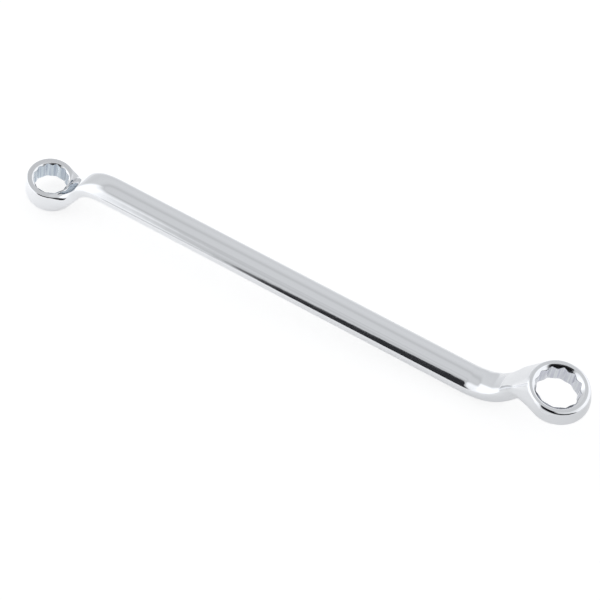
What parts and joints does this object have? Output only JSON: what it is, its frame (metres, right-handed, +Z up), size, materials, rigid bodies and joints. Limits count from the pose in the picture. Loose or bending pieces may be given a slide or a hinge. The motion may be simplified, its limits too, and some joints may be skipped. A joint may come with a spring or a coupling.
{
  "type": "ring spanner",
  "caption": "Deep offset double ended ring spanner: a small and a large ring head with star shaped bores for hexagon nuts, on a cranked oval shank.",
  "frame": {"origin": "on the bench, under the middle of the spanner's bounding box as it lies at rest", "axes": "+X from the small ring to the large ring, +Z up from the bench; the small ring hangs below the shank and the large ring stands above it"},
  "size_m": [0.2786, 0.0272, 0.0303],
  "materials": {
    "chrome_plate": "polished chrome plate on forged steel"
  },
  "bodies": {
    "root": {"ring_spanner": "chrome_plate"}
  },
  "joints": []
}
